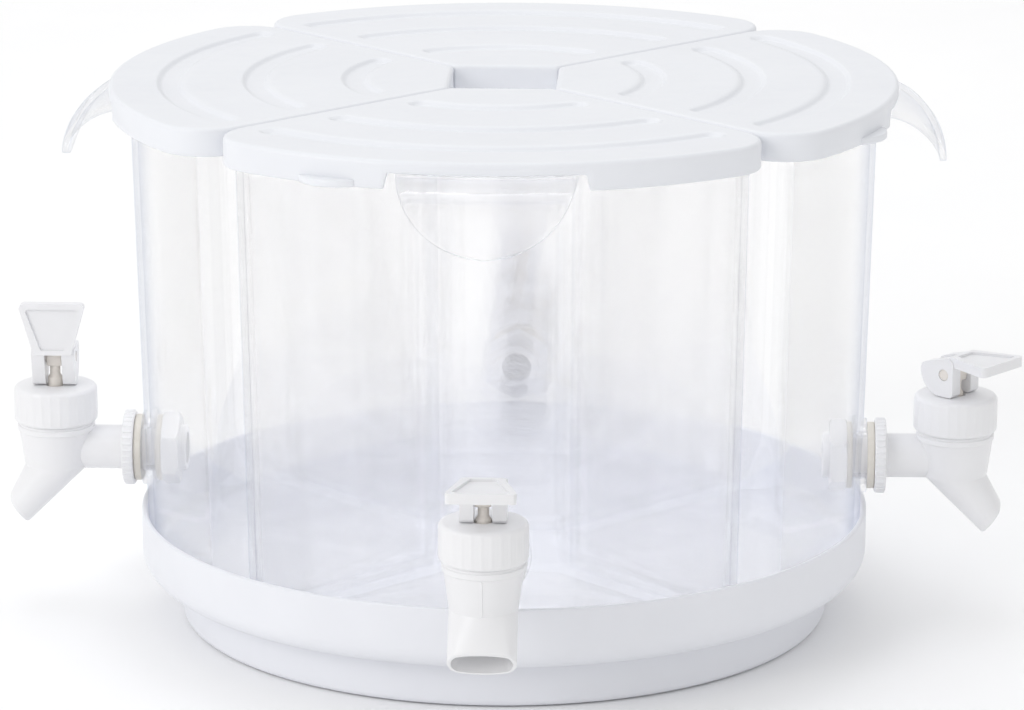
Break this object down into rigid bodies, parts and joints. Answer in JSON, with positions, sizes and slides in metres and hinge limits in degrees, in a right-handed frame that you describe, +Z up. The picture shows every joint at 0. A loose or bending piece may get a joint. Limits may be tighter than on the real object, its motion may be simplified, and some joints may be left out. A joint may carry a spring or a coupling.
{
  "type": "rotating drink dispenser",
  "caption": "Rotating drink dispenser: clear wedge tanks with grooved white lids and lever taps stand in a white tray that turns on a ball bearing over a round foot.",
  "frame": {"origin": "middle of the resting face under the foot, on the turning axis", "axes": "+Z up along the turning axis, -Y towards the front station, +X towards the right station"},
  "size_m": [0.3535, 0.3507, 0.1894],
  "materials": {
    "white_lid": "satin injection moulded",
    "white_base": "satin injection moulded",
    "white_tap": "semi-gloss injection moulded",
    "clear_tank": "polished clear",
    "nylon_stem": "natural nylon",
    "silicone": "matt silicone",
    "spring_steel": "drawn wire",
    "ball_steel": "polished",
    "zinc_steel": "zinc plated",
    "cage_plastic": "moulded",
    "pad_rubber": "matt"
  },
  "bodies": {
    "foot": {"foot": "white_base", "foot_pads": "pad_rubber"},
    "ball_cage": {"ball_cage": "cage_plastic", "bearing_balls": "ball_steel"},
    "tray": {"tray": "white_base", "pivot_screw": "zinc_steel", "pivot_washer": "zinc_steel"},
    "tank_front": {"tank_front": "clear_tank", "tap_body_front": "white_tap", "tap_cap_front": "white_tap", "tap_nut_front": "white_tap", "washer_outer_front": "silicone", "washer_inner_front": "silicone", "tap_spring_front": "spring_steel"},
    "lid_front": {"lid_front": "white_lid"},
    "plug_front": {"tap_plug_front": "silicone"},
    "stem_front": {"tap_stem_front": "nylon_stem"},
    "lever_front": {"tap_lever_front": "white_tap"},
    "tank_right": {"tank_right": "clear_tank", "tap_body_right": "white_tap", "tap_cap_right": "white_tap", "tap_nut_right": "white_tap", "washer_outer_right": "silicone", "washer_inner_right": "silicone", "tap_spring_right": "spring_steel"},
    "lid_right": {"lid_right": "white_lid"},
    "plug_right": {"tap_plug_right": "silicone"},
    "stem_right": {"tap_stem_right": "nylon_stem"},
    "lever_right": {"tap_lever_right": "white_tap"},
    "tank_back": {"tank_back": "clear_tank", "tap_body_back": "white_tap", "tap_cap_back": "white_tap", "tap_nut_back": "white_tap", "washer_outer_back": "silicone", "washer_inner_back": "silicone", "tap_spring_back": "spring_steel"},
    "lid_back": {"lid_back": "white_lid"},
    "plug_back": {"tap_plug_back": "silicone"},
    "stem_back": {"tap_stem_back": "nylon_stem"},
    "lever_back": {"tap_lever_back": "white_tap"},
    "tank_left": {"tank_left": "clear_tank", "tap_body_left": "white_tap", "tap_cap_left": "white_tap", "tap_nut_left": "white_tap", "washer_outer_left": "silicone", "washer_inner_left": "silicone", "tap_spring_left": "spring_steel"},
    "lid_left": {"lid_left": "white_lid"},
    "plug_left": {"tap_plug_left": "silicone"},
    "stem_left": {"tap_stem_left": "nylon_stem"},
    "lever_left": {"tap_lever_left": "white_tap"}
  },
  "joints": [
    {"name": "tray_spin", "type": "hinge", "parent": "foot", "child": "tray", "pos_m": [0, 0, 0.017], "axis": [0, 0, 1], "continuous": true},
    {"name": "cage_spin", "type": "hinge", "parent": "foot", "child": "ball_cage", "pos_m": [0, 0, 0.011], "axis": [0, 0, 1], "continuous": true},
    {"name": "tank_lift_front", "type": "slide", "parent": "tray", "child": "tank_front", "axis": [0, 0, 1], "range_m": [0, 0.1]},
    {"name": "lid_lift_front", "type": "slide", "parent": "tank_front", "child": "lid_front", "axis": [0, 0, 1], "range_m": [0, 0.05]},
    {"name": "valve_lift_front", "type": "slide", "parent": "tank_front", "child": "plug_front", "axis": [0, 0, 1], "range_m": [0, 0.002], "deforming": ["tap_spring_front"]},
    {"name": "lever_swivel_front", "type": "hinge", "parent": "plug_front", "child": "stem_front", "pos_m": [0, -0.157, 0.0866], "axis": [0, 0, 1], "continuous": true},
    {"name": "lever_tilt_front", "type": "hinge", "parent": "stem_front", "child": "lever_front", "pos_m": [0, -0.157, 0.0866], "axis": [-1, 0, 0], "range_deg": [0, 90]},
    {"name": "tank_lift_right", "type": "slide", "parent": "tray", "child": "tank_right", "axis": [0, 0, 1], "range_m": [0, 0.1]},
    {"name": "lid_lift_right", "type": "slide", "parent": "tank_right", "child": "lid_right", "axis": [0, 0, 1], "range_m": [0, 0.05]},
    {"name": "valve_lift_right", "type": "slide", "parent": "tank_right", "child": "plug_right", "axis": [0, 0, 1], "range_m": [0, 0.002], "deforming": ["tap_spring_right"]},
    {"name": "lever_swivel_right", "type": "hinge", "parent": "plug_right", "child": "stem_right", "pos_m": [0.157, 0, 0.0866], "axis": [0, 0, 1], "continuous": true},
    {"name": "lever_tilt_right", "type": "hinge", "parent": "stem_right", "child": "lever_right", "pos_m": [0.157, 0, 0.0866], "axis": [-0.6428, -0.766, 0], "range_deg": [0, 90]},
    {"name": "tank_lift_back", "type": "slide", "parent": "tray", "child": "tank_back", "axis": [0, 0, 1], "range_m": [0, 0.1]},
    {"name": "lid_lift_back", "type": "slide", "parent": "tank_back", "child": "lid_back", "axis": [0, 0, 1], "range_m": [0, 0.05]},
    {"name": "valve_lift_back", "type": "slide", "parent": "tank_back", "child": "plug_back", "axis": [0, 0, 1], "range_m": [-0.002, 0], "deforming": ["tap_spring_back"]},
    {"name": "lever_swivel_back", "type": "hinge", "parent": "plug_back", "child": "stem_back", "pos_m": [0, 0.157, 0.0886], "axis": [0, 0, 1], "continuous": true},
    {"name": "lever_tilt_back", "type": "hinge", "parent": "stem_back", "child": "lever_back", "pos_m": [0, 0.157, 0.0886], "axis": [1, 0, 0], "range_deg": [-90, 0]},
    {"name": "tank_lift_left", "type": "slide", "parent": "tray", "child": "tank_left", "axis": [0, 0, 1], "range_m": [0, 0.1]},
    {"name": "lid_lift_left", "type": "slide", "parent": "tank_left", "child": "lid_left", "axis": [0, 0, 1], "range_m": [0, 0.05]},
    {"name": "valve_lift_left", "type": "slide", "parent": "tank_left", "child": "plug_left", "axis": [0, 0, 1], "range_m": [-0.002, 0], "deforming": ["tap_spring_left"]},
    {"name": "lever_swivel_left", "type": "hinge", "parent": "plug_left", "child": "stem_left", "pos_m": [-0.157, 0, 0.0886], "axis": [0, 0, 1], "continuous": true},
    {"name": "lever_tilt_left", "type": "hinge", "parent": "stem_left", "child": "lever_left", "pos_m": [-0.157, 0, 0.0886], "axis": [1, 0, 0], "range_deg": [-90, 0]}
  ],
  "couplings": [
    {"joint": "cage_spin", "follows": "tray_spin", "ratio": 0.5},
    {"joint": "lever_tilt_front", "follows": "valve_lift_front", "rad_per_m": 785.4},
    {"joint": "lever_tilt_right", "follows": "valve_lift_right", "rad_per_m": 785.4},
    {"joint": "lever_tilt_back", "follows": "valve_lift_back", "rad_per_m": 785.4},
    {"joint": "lever_tilt_left", "follows": "valve_lift_left", "rad_per_m": 785.4}
  ]
}
